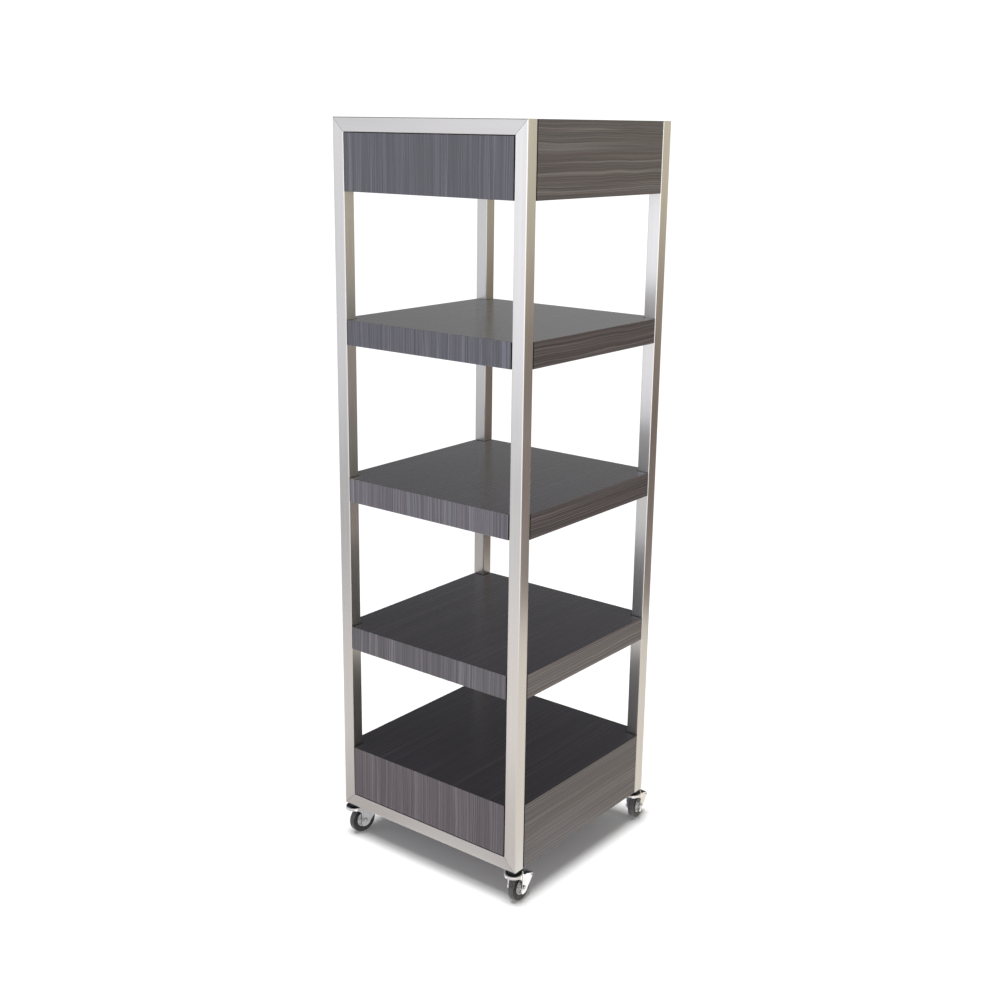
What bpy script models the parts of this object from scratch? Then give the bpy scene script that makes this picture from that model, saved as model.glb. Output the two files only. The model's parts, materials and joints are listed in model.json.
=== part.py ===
"""Rolling display tower: two mitred square-tube frames, laminated boxes and shelves, four casters.

Metres, +Z up, the front faces -Y. The origin is on the floor, at the bottom centre of the whole
object's box. The casters trail behind their stems, so the tower itself stands a little forward of
the origin. Heights in the driving dimensions are above the frame's underside.
"""
from math import acos, cos, degrees, pi, radians, sin, sqrt

import bmesh
import bpy
from mathutils import Matrix, Vector

# Frame
WIDTH = 0.508
DEPTH = 0.508
FRAME_HEIGHT = 1.571
TUBE = 0.030
TUBE_WALL = 0.0015
TUBE_CORNER = 0.0020
CORNER_STEPS = 3

# Boards
BOARD = 0.018
REVEAL = 0.002
RAIL_REVEAL = 0.0012
UNDERSIDE_REVEAL = 0.001
BASE_TOP = 0.152
HEADER_BOTTOM = 1.421
SHELF_THICKNESS = 0.054
SHELF_TOPS = {"lower": 0.452, "middle": 0.802, "upper": 1.152}

# Casters
CASTER_HEIGHT = 0.084
WHEEL_RADIUS = 0.033
WHEEL_WIDTH = 0.015
TRAIL = 0.022
CASTER_YAW = {
    "front_left": radians(-10.0),
    "front_right": radians(2.0),
    "rear_left": radians(-5.0),
    "rear_right": radians(8.0),
}

GAP = 0.0003
MITRE_GAP = GAP * sqrt(0.5)

HALF_WIDTH = WIDTH / 2
HALF_DEPTH = DEPTH / 2
POST_X = HALF_WIDTH - TUBE / 2
POST_Y = HALF_DEPTH - TUBE / 2
OPEN_X = HALF_WIDTH - TUBE - REVEAL
OPEN_Y = HALF_DEPTH - TUBE - REVEAL
FRAME_BOTTOM = CASTER_HEIGHT
FRAME_TOP = FRAME_BOTTOM + FRAME_HEIGHT

# Caster pieces; u runs back along the fork from the stem, z is below the frame's underside
AXLE_Z = WHEEL_RADIUS - CASTER_HEIGHT
SOCKET_RADIUS = 0.007
SOCKET_FLANGE_RADIUS = 0.011
SOCKET_FLANGE = 0.0015
SOCKET_DEPTH = 0.022
STEM_RADIUS = 0.004
STEM_TOP = 0.019
RACE_RADIUS = 0.0125
RACE_TOP = -(GAP + SOCKET_FLANGE + GAP)
KINGPIN_RADIUS = 0.0044
KINGPIN_HEAD_RADIUS = 0.007
KINGPIN_HEAD = 0.0018
PLATE_TOP = -0.0085
PLATE_END = 0.0180
FORK_SHEET = 0.0025
CROWN_RADIUS = 0.021
CROWN_SKIRT = -0.0155
CROWN_ROUNDING = 0.0030
SKIRT_END = -0.0115
LEG_SWEEP = 0.0180
LEG_HALF = 0.0130
LEG_END_RADIUS = 0.0160
DIP_RADIUS = 0.0110
DIP_U = 0.0290
DIP_Z = -0.0105
AXLE_RADIUS = 0.0035
AXLE_HEAD_RADIUS = 0.0045
AXLE_HEAD = 0.0030
AXLE_HEAD_CROWN = 0.0008
SHOULDER_DROP = 0.0045
SHOULDER_TURN = 0.0012
TREAD_HALF = 0.0030
BEAD_RISE = 0.0025
HUB_RADIUS = 0.0185
HUB_RIM = 0.0158
HUB_HALF = 0.0060
HUB_WEB_HALF = 0.0025
BOSS_RADIUS = 0.0075
BOSS_HALF = 0.0100
PIVOT_U = 0.0530
PIVOT_Z = -0.0335
PIVOT_RADIUS = 0.0016
LUG_RADIUS = 0.0040
STUB_PROUD = 0.0008
PEDAL_HALF = 0.0080
PEDAL_TIP_U = 0.0660
ARCH_RADIUS = WHEEL_RADIUS + 0.0040
ARCH_INSIDE_RADIUS = WHEEL_RADIUS + 0.0022
SHOE_RADIUS = WHEEL_RADIUS + 0.0012
TAIL_TOP = ((0.0580, -0.0298), (0.0625, -0.0350), (PEDAL_TIP_U, -0.0372))
TAIL_UNDERSIDE = ((0.0658, -0.0392), (0.0615, -0.0374), (0.0590, -0.0348))
HEEL = ((0.0586, -0.0402), (0.0575, -0.0428), (0.0563, -0.0416))

# The casters trail backwards, so the tower stands forward of the object's middle
TOWER_Y = -(PEDAL_TIP_U - CROWN_RADIUS) / 2

STAINLESS = ("brushed_stainless", (0.62, 0.60, 0.57), 0.32, 1.0)
LAMINATE = ("wood_laminate", (0.105, 0.096, 0.092), 0.45, 0.0)
CHROME = ("chrome_plate", (0.75, 0.75, 0.76), 0.12, 1.0)
ZINC = ("zinc_plate", (0.55, 0.55, 0.53), 0.35, 1.0)
LACQUER = ("black_lacquer", (0.018, 0.018, 0.020), 0.35, 0.0)
RUBBER = ("black_rubber", (0.030, 0.030, 0.032), 0.70, 0.0)
HUB_GREY = ("hub_plastic", (0.42, 0.41, 0.40), 0.50, 0.0)


def material(finish):
    """A Principled material, made once for each finish."""
    name, colour, roughness, metallic = finish
    made = bpy.data.materials.get(name)
    if made is None:
        made = bpy.data.materials.new(name)
        made.use_nodes = True
        shader = made.node_tree.nodes["Principled BSDF"]
        shader.inputs["Base Color"].default_value = (*colour, 1.0)
        shader.inputs["Roughness"].default_value = roughness
        shader.inputs["Metallic"].default_value = metallic
        made.diffuse_color = (*colour, 1.0)
    return made


def mesh_from(name, bm):
    """A mesh with its faces pointing out."""
    bmesh.ops.recalc_face_normals(bm, faces=bm.faces)
    mesh = bpy.data.meshes.new(name)
    bm.to_mesh(mesh)
    bm.free()
    return mesh


def add_object(name, bm, finish, parent, smooth=False):
    """Turn a bmesh into a named piece under its parent."""
    mesh = mesh_from(name, bm)
    mesh.materials.append(material(finish))
    if smooth:
        mesh.shade_smooth()
        mesh.set_sharp_from_angle(angle=radians(35))
    made = bpy.data.objects.new(name, mesh)
    made.parent = parent
    bpy.context.collection.objects.link(made)
    return made


def add_empty(name, parent, location, yaw=0.0):
    """A guide that places a group of pieces."""
    empty = bpy.data.objects.new(name, None)
    empty.parent = parent
    empty.location = location
    empty.rotation_euler = (0.0, 0.0, yaw)
    bpy.context.collection.objects.link(empty)
    return empty


def shape_with(target, bm, operation):
    """Give target a Boolean modifier, with a hidden guide that is left out of the model."""
    guide = bpy.data.objects.new(f"{target.name}_{operation.lower()}", mesh_from("guide", bm))
    guide.parent = target.parent
    guide.location = target.location
    guide.hide_render = True
    guide.display_type = "WIRE"
    bpy.context.collection.objects.link(guide)
    boolean = target.modifiers.new(operation.lower(), "BOOLEAN")
    boolean.operation = operation
    boolean.object = guide


def join_rings(bm, first, second):
    """Faces between two rings of vertices, either of which may be a single vertex."""
    count = max(len(first), len(second))
    for step in range(count):
        after = (step + 1) % count
        corners = [first[step % len(first)], first[after % len(first)]]
        corners += [second[after % len(second)], second[step % len(second)]]
        bm.faces.new(list(dict.fromkeys(corners)))


def loft(outlines):
    """A closed solid through outlines that have the same number of points."""
    bm = bmesh.new()
    rings = [[bm.verts.new(point) for point in outline] for outline in outlines]
    bm.faces.new(rings[0])
    bm.faces.new(rings[-1])
    for first, second in zip(rings, rings[1:]):
        join_rings(bm, first, second)
    return bm


def turned(profile, segments, across=False):
    """Spin (radius, height) points about Z, or about X for a piece that lies across the fork.

    A profile that starts on the axis is a solid; one that doesn't is closed round a bore.
    """
    bm = bmesh.new()
    rings = []
    angles = [2 * pi * step / segments for step in range(segments)]
    for radius, height in profile:
        if radius == 0.0:
            rings.append([bm.verts.new((0.0, 0.0, height))])
        else:
            rings.append([bm.verts.new((radius * cos(a), radius * sin(a), height)) for a in angles])
    for first, second in zip(rings, rings[1:]):
        join_rings(bm, first, second)
    if profile[0][0] > 0.0:
        join_rings(bm, rings[-1], rings[0])
    if across:
        bmesh.ops.rotate(bm, verts=bm.verts, matrix=Matrix.Rotation(pi / 2, 3, "Y"))
    return bm


def rod(radius, low, high, segments, across=False):
    """A plain round bar, used as a drill or a pin."""
    return turned([(0.0, low), (radius, low), (radius, high), (0.0, high)], segments, across)


def moved(bm, x, y, z):
    """The same bmesh, shifted."""
    bmesh.ops.translate(bm, verts=bm.verts, vec=(x, y, z))
    return bm


def arc(centre, radius, start, end, steps):
    """Points on an arc; the angles are in degrees from the first axis towards the second."""
    angles = [radians(start + (end - start) * step / steps) for step in range(steps + 1)]
    return [(centre[0] + radius * cos(a), centre[1] + radius * sin(a)) for a in angles]


def across_fork(outline, half):
    """A side outline of (u, z) points, extruded evenly to both sides of the fork's middle."""
    return loft([[(side * half, u, z) for u, z in outline] for side in (-1, 1)])


# ---- Frames ---------------------------------------------------------------------------------

def square_ring(half, corner):
    """Points round a square with rounded corners."""
    points = []
    centre = half - corner
    for quarter, (x, y) in enumerate(((1, 1), (-1, 1), (-1, -1), (1, -1))):
        points += arc((x * centre, y * centre), corner, quarter * 90, quarter * 90 + 90, CORNER_STEPS)
    return points


def mitred_tube(name, parent, start, along, inward, length):
    """A square tube whose ends are cut at 45 degrees, so that it is shortest on its inward side."""
    bm = bmesh.new()
    across = along.cross(inward)
    loops = []
    for ring in (square_ring(TUBE / 2, TUBE_CORNER),
                 square_ring(TUBE / 2 - TUBE_WALL, TUBE_CORNER - TUBE_WALL)):
        for at_far_end in (False, True):
            loop = []
            for offset_in, offset_across in ring:
                setback = TUBE / 2 + offset_in + MITRE_GAP
                run = length - setback if at_far_end else setback
                loop.append(bm.verts.new(start + along * run + inward * offset_in + across * offset_across))
            loops.append(loop)
    outer_near, outer_far, inner_near, inner_far = loops
    join_rings(bm, outer_near, outer_far)
    join_rings(bm, outer_far, inner_far)
    join_rings(bm, inner_far, inner_near)
    join_rings(bm, inner_near, outer_near)
    return add_object(name, bm, STAINLESS, parent, smooth=True)


def drill_for_sockets(rail, y):
    """Holes through the bottom wall, under both posts, for the caster sockets."""
    low = FRAME_BOTTOM - TUBE_WALL
    high = FRAME_BOTTOM + 2 * TUBE_WALL
    drills = bmesh.new()
    for x in (-POST_X, POST_X):
        drill = mesh_from("drill", moved(rod(SOCKET_RADIUS + GAP, low, high, 20), x, y, 0.0))
        drills.from_mesh(drill)
        bpy.data.meshes.remove(drill)
    shape_with(rail, drills, "DIFFERENCE")


def build_frame(tower, side, y):
    """Two posts and two rails, mitred at the four corners."""
    up = Vector((0, 0, 1))
    right = Vector((1, 0, 0))
    for place, x, inward in (("left", -POST_X, right), ("right", POST_X, -right)):
        foot = Vector((x, y, FRAME_BOTTOM))
        mitred_tube(f"{side}_{place}_post", tower, foot, up, inward, FRAME_HEIGHT)
    for place, z, inward in (("bottom", FRAME_BOTTOM + TUBE / 2, up), ("top", FRAME_TOP - TUBE / 2, -up)):
        end = Vector((-HALF_WIDTH, y, z))
        rail = mitred_tube(f"{side}_{place}_rail", tower, end, right, inward, WIDTH)
        if place == "bottom":
            drill_for_sockets(rail, y)


# ---- Boards ---------------------------------------------------------------------------------

def notched_outline(inset, z):
    """A full-size board with a notch round each post; inset draws in its four outer edges."""
    far_x = HALF_WIDTH - inset
    far_y = HALF_DEPTH - inset
    corner = [(far_x, OPEN_Y), (OPEN_X, OPEN_Y), (OPEN_X, far_y)]
    points = list(corner)
    points += [(-x, y) for x, y in reversed(corner)]
    points += [(-x, -y) for x, y in corner]
    points += [(x, -y) for x, y in reversed(corner)]
    return [(x, y, z) for x, y in points]


def notched_board(name, tower, outer_z, inner_z, mitred):
    """A board that reaches round the posts; a mitred one has a smaller inner face."""
    outer_inset = MITRE_GAP if mitred else 0.0
    inner_inset = MITRE_GAP + BOARD if mitred else 0.0
    outlines = [notched_outline(outer_inset, outer_z), notched_outline(inner_inset, inner_z)]
    return add_object(name, loft(outlines), LAMINATE, tower)


def rail_board(name, tower, outer_z, inner_z):
    """A board between the front and rear rails, mitred to the side panels."""
    outlines = []
    for z, inset in ((outer_z, MITRE_GAP), (inner_z, MITRE_GAP + BOARD)):
        far = HALF_WIDTH - inset
        outlines.append([(-far, -OPEN_Y, z), (far, -OPEN_Y, z), (far, OPEN_Y, z), (-far, OPEN_Y, z)])
    return add_object(name, loft(outlines), LAMINATE, tower)


def side_panel(name, tower, side, low, high):
    """An end panel between the posts, mitred along its top and bottom."""
    outlines = []
    for inset in (0.0, BOARD):
        x = side * (HALF_WIDTH - inset)
        bottom = low + inset + MITRE_GAP
        top = high - inset - MITRE_GAP
        outlines.append([(x, -OPEN_Y, bottom), (x, OPEN_Y, bottom), (x, OPEN_Y, top), (x, -OPEN_Y, top)])
    return add_object(name, loft(outlines), LAMINATE, tower)


def face_panel(name, tower, side, mitred_z, square_z):
    """A front or rear panel: one edge is mitred to the notched board, one stops at the rail."""
    inward = 1.0 if square_z > mitred_z else -1.0
    outlines = []
    for inset in (0.0, BOARD):
        y = side * (HALF_DEPTH - inset)
        edge = mitred_z + inward * (inset + MITRE_GAP)
        corners = [(-OPEN_X, edge), (OPEN_X, edge), (OPEN_X, square_z), (-OPEN_X, square_z)]
        outlines.append([(x, y, z) for x, z in corners])
    return add_object(name, loft(outlines), LAMINATE, tower)


def build_box(tower, name, notched_name, notched_z, rail_name, rail_z):
    """Four panels, a notched board and a board between the rails."""
    inward = 1.0 if rail_z > notched_z else -1.0
    for side_name, side in (("front", -1.0), ("rear", 1.0)):
        stop = rail_z - inward * (TUBE + RAIL_REVEAL)
        face_panel(f"{name}_{side_name}_panel", tower, side, notched_z, stop)
    for side_name, side in (("left", -1.0), ("right", 1.0)):
        low, high = sorted((notched_z, rail_z))
        side_panel(f"{name}_{side_name}_panel", tower, side, low, high)
    notched_board(f"{name}_{notched_name}", tower, notched_z, notched_z + inward * BOARD, True)
    rail_board(f"{name}_{rail_name}", tower, rail_z, rail_z - inward * BOARD)


def build_shelf(tower, name, top):
    """A thick slab built up from three boards."""
    ply = (SHELF_THICKNESS - 2 * GAP) / 3
    for index, layer in enumerate(("top_board", "core", "bottom_board")):
        upper = top - index * (ply + GAP)
        notched_board(f"{name}_shelf_{layer}", tower, upper, upper - ply, False)


# ---- Casters --------------------------------------------------------------------------------

def build_socket(name, corner):
    """A flanged insert: its body is up inside the frame, its flange against the underside."""
    bore = STEM_RADIUS + GAP
    bottom = -GAP - SOCKET_FLANGE
    profile = [
        (bore, SOCKET_DEPTH),
        (SOCKET_RADIUS, SOCKET_DEPTH),
        (SOCKET_RADIUS, -GAP),
        (SOCKET_FLANGE_RADIUS, -GAP),
        (SOCKET_FLANGE_RADIUS, bottom),
        (bore, bottom),
    ]
    add_object(name, turned(profile, 20), ZINC, corner, smooth=True)


def build_stem(name, corner):
    """The still half of the swivel: threaded stem, race, kingpin and its rolled head."""
    race_bottom = PLATE_TOP + GAP
    head_top = PLATE_TOP - FORK_SHEET - GAP
    chamfer = 0.0015
    profile = [
        (0.0, STEM_TOP),
        (STEM_RADIUS - chamfer, STEM_TOP),
        (STEM_RADIUS, STEM_TOP - chamfer),
        (STEM_RADIUS, RACE_TOP),
        (RACE_RADIUS - chamfer, RACE_TOP),
        (RACE_RADIUS, RACE_TOP - chamfer),
        (RACE_RADIUS, race_bottom + chamfer),
        (RACE_RADIUS - chamfer, race_bottom),
        (KINGPIN_RADIUS, race_bottom),
        (KINGPIN_RADIUS, head_top),
        (KINGPIN_HEAD_RADIUS, head_top),
        (KINGPIN_HEAD_RADIUS - chamfer, head_top - KINGPIN_HEAD),
        (0.0, head_top - KINGPIN_HEAD),
    ]
    add_object(name, turned(profile, 20), ZINC, corner, smooth=True)


def keyhole_plan(inset, rear, z):
    """The fork from above: a round crown in front, two straight legs behind."""
    radius = CROWN_RADIUS - inset
    half = LEG_HALF - inset
    neck = degrees(acos(half / radius))
    points = arc((0.0, 0.0), radius, neck, -180.0 - neck, 22)
    points += [(-half, rear), (half, rear)]
    return [(x, u, z) for x, u in points]


def rounded_keyhole(inset, rear, low, high):
    """A keyhole block with a rounded top edge."""
    edge = CROWN_ROUNDING - inset
    outlines = [keyhole_plan(inset, rear, low)]
    for lean in (0.0, 45.0, 90.0):
        drawn_in = edge * (1 - cos(radians(lean)))
        z = high - edge * (1 - sin(radians(lean)))
        outlines.append(keyhole_plan(inset + drawn_in, rear, z))
    return loft(outlines)


def fork_side():
    """The fork from the side: crown skirt, leg down to the axle, brake lug, and the top edge."""
    margin = 0.004
    points = [(-CROWN_RADIUS - margin, PLATE_TOP + margin), (-CROWN_RADIUS - margin, CROWN_SKIRT)]
    points += arc((SKIRT_END, CROWN_SKIRT - LEG_SWEEP), LEG_SWEEP, 90.0, 10.0, 5)
    points += arc((TRAIL, AXLE_Z), LEG_END_RADIUS, 155.0, 340.0, 10)
    points += arc((PIVOT_U, PIVOT_Z), LUG_RADIUS, -40.0, 100.0, 5)
    points += arc((DIP_U, DIP_Z), DIP_RADIUS, -75.0, -165.0, 4)
    points += [(PLATE_END, PLATE_TOP + margin)]
    return points


def build_fork(name, swivel):
    """A stamped crown with two legs, hollow below and behind, drilled for its three pins."""
    low = AXLE_Z - LEG_END_RADIUS
    rear = PIVOT_U + LUG_RADIUS
    far = 2 * CROWN_RADIUS
    fork = add_object(name, rounded_keyhole(0.0, rear, low, PLATE_TOP), CHROME, swivel, smooth=True)
    shape_with(fork, across_fork(fork_side(), far), "INTERSECT")
    inside = rounded_keyhole(FORK_SHEET, rear + far, low - far, PLATE_TOP - FORK_SHEET)
    shape_with(fork, inside, "DIFFERENCE")
    drills = (
        rod(KINGPIN_RADIUS + GAP, -far, far, 20),
        moved(rod(AXLE_RADIUS + GAP, -far, far, 16, across=True), 0.0, TRAIL, AXLE_Z),
        moved(rod(PIVOT_RADIUS + GAP, -far, far, 12, across=True), 0.0, PIVOT_U, PIVOT_Z),
    )
    for drill in drills:
        shape_with(fork, drill, "DIFFERENCE")
    return fork


def build_tyre(name, wheel):
    """A solid rubber tyre with rounded shoulders and a slightly crowned tread."""
    half = WHEEL_WIDTH / 2
    bead = HUB_RADIUS + GAP
    turn = (half + TREAD_HALF) / 2
    side = [(bead, HUB_HALF), (bead + BEAD_RISE, half), (WHEEL_RADIUS - SHOULDER_DROP, half),
            (WHEEL_RADIUS - SHOULDER_TURN, turn), (WHEEL_RADIUS, TREAD_HALF)]
    profile = side + [(radius, -x) for radius, x in reversed(side)]
    add_object(name, turned(profile, 36, across=True), RUBBER, wheel, smooth=True)


def build_hub(name, wheel):
    """A wheel centre: bored boss, thin web and a rim that carries the tyre."""
    side = [(AXLE_RADIUS + GAP, BOSS_HALF), (BOSS_RADIUS, BOSS_HALF), (BOSS_RADIUS, HUB_WEB_HALF),
            (HUB_RIM, HUB_WEB_HALF), (HUB_RIM, HUB_HALF), (HUB_RADIUS, HUB_HALF)]
    profile = side + [(radius, -x) for radius, x in reversed(side)]
    add_object(name, turned(profile, 28, across=True), HUB_GREY, wheel, smooth=True)


def hexagon(radius, x):
    """A hexagon round the axle, with a point at each corner and at the middle of each flat."""
    points = []
    for step in range(12):
        angle = step * pi / 6
        reach = radius / cos(pi / 6) if step % 2 == 0 else radius
        points.append((x, TRAIL + reach * cos(angle), AXLE_Z + reach * sin(angle)))
    return points


def circle(radius, x):
    """A circle round the axle with as many points as a hexagon has."""
    return [(x, TRAIL + u, AXLE_Z + z) for u, z in arc((0.0, 0.0), radius, 0.0, 330.0, 11)]


def build_axle(name, swivel):
    """The axle bolt across both legs, with its hexagon head outside one and its nut outside the other."""
    inner = LEG_HALF + GAP
    outer = inner + AXLE_HEAD
    outlines = []
    for side in (-1, 1):
        end = [
            circle(AXLE_HEAD_RADIUS - AXLE_HEAD_CROWN, side * outer),
            hexagon(AXLE_HEAD_RADIUS, side * (outer - AXLE_HEAD_CROWN)),
            hexagon(AXLE_HEAD_RADIUS, side * inner),
            circle(AXLE_RADIUS, side * inner),
        ]
        outlines += end if side < 0 else list(reversed(end))
    add_object(name, loft(outlines), ZINC, swivel, smooth=True)


def pedal_side():
    """The lever from the side: arch over the tyre, tail to step on, heel and shoe below the pivot."""
    axle = (TRAIL, AXLE_Z)
    points = arc(axle, ARCH_RADIUS, 84.0, 42.0, 7)
    points += [*TAIL_TOP, *TAIL_UNDERSIDE, *HEEL]
    points += arc(axle, SHOE_RADIUS, 24.0, 39.0, 3)
    points += arc(axle, ARCH_INSIDE_RADIUS, 42.0, 84.0, 7)
    return points


def build_pedal(name, swivel):
    """A brake lever between the legs; its own stub pins turn in the legs' lugs."""
    pedal = add_object(name, across_fork(pedal_side(), PEDAL_HALF), LACQUER, swivel, smooth=True)
    reach = LEG_HALF + STUB_PROUD
    stubs = moved(rod(PIVOT_RADIUS, -reach, reach, 12, across=True), 0.0, PIVOT_U, PIVOT_Z)
    shape_with(pedal, stubs, "UNION")


def build_caster(tower, name, x, y):
    """One braked swivel caster under a corner of the frame."""
    corner = add_empty(f"{name}_corner", tower, (x, y, FRAME_BOTTOM))
    swivel = add_empty(f"{name}_swivel", corner, (0.0, 0.0, 0.0), CASTER_YAW[name])
    wheel = add_empty(f"{name}_wheel", swivel, (0.0, TRAIL, AXLE_Z))
    build_socket(f"{name}_caster_socket", corner)
    build_stem(f"{name}_caster_stem", corner)
    build_fork(f"{name}_caster_fork", swivel)
    build_axle(f"{name}_caster_axle", swivel)
    build_hub(f"{name}_caster_hub", wheel)
    build_tyre(f"{name}_caster_tyre", wheel)
    build_pedal(f"{name}_brake_pedal", swivel)


def build_tower():
    """The whole object."""
    tower = add_empty("tower", None, (0.0, TOWER_Y, 0.0))
    build_frame(tower, "front", -POST_Y)
    build_frame(tower, "rear", POST_Y)
    build_box(tower, "header", "bottom_board", FRAME_BOTTOM + HEADER_BOTTOM, "top_board", FRAME_TOP)
    build_box(tower, "base", "deck", FRAME_BOTTOM + BASE_TOP, "bottom_board", FRAME_BOTTOM + UNDERSIDE_REVEAL)
    for name, top in SHELF_TOPS.items():
        build_shelf(tower, name, FRAME_BOTTOM + top)
    for front_rear, y in (("front", -POST_Y), ("rear", POST_Y)):
        for left_right, x in (("left", -POST_X), ("right", POST_X)):
            build_caster(tower, f"{front_rear}_{left_right}", x, y)


def main():
    for old in list(bpy.data.objects):
        bpy.data.objects.remove(old, do_unlink=True)
    build_tower()


main()
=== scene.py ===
"""Looks for the rolling display tower: laminated boards, brushed tubes, chromed casters, studio.

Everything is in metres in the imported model's frame: the front faces -Y, the floor is at z = 0.
"""
import json
from math import acos, cos, degrees, pi, radians, sin

import bmesh
import bpy
from mathutils import Matrix, Vector

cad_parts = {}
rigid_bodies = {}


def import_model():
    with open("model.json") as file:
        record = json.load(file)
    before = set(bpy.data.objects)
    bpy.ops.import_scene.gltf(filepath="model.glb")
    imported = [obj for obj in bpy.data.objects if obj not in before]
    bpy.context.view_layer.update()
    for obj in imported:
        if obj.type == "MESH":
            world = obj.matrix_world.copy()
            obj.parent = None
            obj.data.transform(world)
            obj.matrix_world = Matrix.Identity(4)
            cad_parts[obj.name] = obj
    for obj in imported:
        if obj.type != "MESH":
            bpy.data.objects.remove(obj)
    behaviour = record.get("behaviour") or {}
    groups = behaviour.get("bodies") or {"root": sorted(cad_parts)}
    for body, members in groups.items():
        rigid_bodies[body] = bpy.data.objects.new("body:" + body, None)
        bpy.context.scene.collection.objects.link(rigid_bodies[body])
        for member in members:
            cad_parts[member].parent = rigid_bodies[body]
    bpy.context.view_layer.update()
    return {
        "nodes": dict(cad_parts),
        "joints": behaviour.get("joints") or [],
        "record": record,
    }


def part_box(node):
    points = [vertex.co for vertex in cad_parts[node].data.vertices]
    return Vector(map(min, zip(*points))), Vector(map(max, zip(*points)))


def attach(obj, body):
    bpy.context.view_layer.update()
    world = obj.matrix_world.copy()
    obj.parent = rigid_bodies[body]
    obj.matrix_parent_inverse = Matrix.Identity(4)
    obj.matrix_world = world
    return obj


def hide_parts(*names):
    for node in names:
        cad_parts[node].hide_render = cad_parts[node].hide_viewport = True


UP = Vector((0.0, 0.0, 1.0))

# Camera
CAMERA_PLACE = (1.8187, -2.3530, 1.6480)
CAMERA_AZIMUTH = radians(37.942)
CAMERA_DOWN = radians(15.591)
CAMERA_ROLL = radians(0.762)
CAMERA_LENS = 48.732

# Stage
FLOOR_RADIUS = 1.80
FLOOR_SEGMENTS = 96
FLOOR_LIGHT = 3.0
FLOOR_LIGHT_ANGLE = radians(32.0)
FLOOR_LIGHT_TILT = radians(11.0)
CARD_DROP = 0.002
CARD_UNDER = (0.52, 0.52, 0.53)
CARD_FOOT = (1.30, 1.28, 1.26)
CARD_NEAR = (0.72, 0.67, 0.65)
CARD_FRONT = (1.04, 0.98, 0.95)
CARD_BACK = (0.98, 0.91, 0.81)
CARD_FOOT_START = (0.30, 0.33)
CARD_FOOT_END = (0.37, 0.41)
CARD_FRONT_FADE = (0.45, 0.95)
CARD_BACK_FADE = (-0.25, 0.35)

# Studio light from four quarters: (sine of the elevation, colour)
SKY_STRENGTH = 2.0
BACKDROP = (0.55, 0.55, 0.55)
LEFT_DIMMING = (0.58, 0.80, 1.0, 0.62)
TO_BACK_RIGHT = (0.61, 0.79, 0.0)
TO_BACK_LEFT = (-0.79, 0.61, 0.0)
FRONT_LEFT_LIGHT = (
    (-1.0, (1.12, 1.09, 1.08)),
    (-0.33, (1.12, 1.09, 1.08)),
    (-0.285, (0.72, 0.71, 0.71)),
    (-0.25, (0.40, 0.40, 0.41)),
    (-0.205, (1.22, 1.22, 1.29)),
    (0.0, (1.42, 1.42, 1.48)),
    (0.20, (1.30, 1.30, 1.36)),
    (0.45, (0.40, 0.40, 0.42)),
    (1.0, (0.30, 0.30, 0.30)),
)
FRONT_RIGHT_LIGHT = (
    (-1.0, (0.70, 0.68, 0.66)),
    (-0.20, (1.60, 1.58, 1.60)),
    (0.0, (2.00, 1.98, 2.00)),
    (0.20, (2.00, 1.98, 2.00)),
    (0.35, (0.60, 0.60, 0.60)),
    (1.0, (0.20, 0.20, 0.20)),
)
BACK_RIGHT_LIGHT = (
    (-1.0, (0.32, 0.26, 0.22)),
    (-0.34, (0.32, 0.26, 0.22)),
    (-0.28, (0.16, 0.10, 0.07)),
    (-0.22, (0.08, 0.035, 0.015)),
    (-0.14, (0.16, 0.09, 0.04)),
    (-0.04, (0.68, 0.60, 0.42)),
    (0.20, (0.80, 0.75, 0.60)),
    (0.45, (0.36, 0.34, 0.30)),
    (1.0, (0.30, 0.30, 0.30)),
)
BACK_LEFT_LIGHT = (
    (-1.0, (0.40, 0.40, 0.40)),
    (0.0, (0.70, 0.70, 0.70)),
    (0.14, (0.74, 0.74, 0.74)),
    (0.25, (0.45, 0.45, 0.46)),
    (0.35, (0.16, 0.16, 0.17)),
    (0.45, (0.04, 0.04, 0.05)),
    (1.0, (0.20, 0.20, 0.20)),
)

# Tubes and boards
TUBE_WALL = 0.0015
TUBE_CORNER = 0.0020
TUBE_CORNER_STEPS = 6
SEAM = 0.00015
PANEL_ARRIS = 0.00035
SHELF_ARRIS = 0.0008
SHEET_STEP = 3.7

# Painted light on each laminate sheet: how pale it is drawn on its front, its ends and its top, and its
# front's hue, standing in for how light falls on those faces
COOL_PAINTED_FRONT = (0.94, 0.99, 1.05)
PLAIN_PAINTED_FRONT = (1.00, 1.00, 1.00)
WARM_PAINTED_FRONT = (1.04, 0.98, 0.98)
SHEET_PAINTED_LIGHT = {
    "header": (0.89, 1.06, 1.0, COOL_PAINTED_FRONT),
    "upper": (1.02, 1.00, 1.04, COOL_PAINTED_FRONT),
    "middle": (1.34, 1.00, 1.06, PLAIN_PAINTED_FRONT),
    "lower": (1.10, 1.14, 1.02, PLAIN_PAINTED_FRONT),
    "base": (0.98, 0.83, 0.86, WARM_PAINTED_FRONT),
}
# Painted light by face direction: fronts paler and bluer, ends paler, tops a little darker and bluer
FRONT_PAINTED_LIGHT = (1.30, 1.32, 1.45)
END_PAINTED_LIGHT = (1.18, 1.14, 1.12)
TOP_PAINTED_LIGHT = (0.93, 0.90, 1.08)

# Painted shade: how much darker some of the tubes are drawn, standing in for shade and darker reflections
# round them
TUBE_PAINTED_SHADE = {
    "front_left_post": 0.88,
    "rear_left_post": 0.74,
    "front_top_rail": 0.95,
    "front_bottom_rail": 0.80,
}
# Board slots: laminate, a paler laminate on the arrises as painted highlight, and near-black on faces away
# from the outside
LAMINATED, HIGHLIGHT_ARRIS, NEAR_BLACK = range(3)

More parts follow.
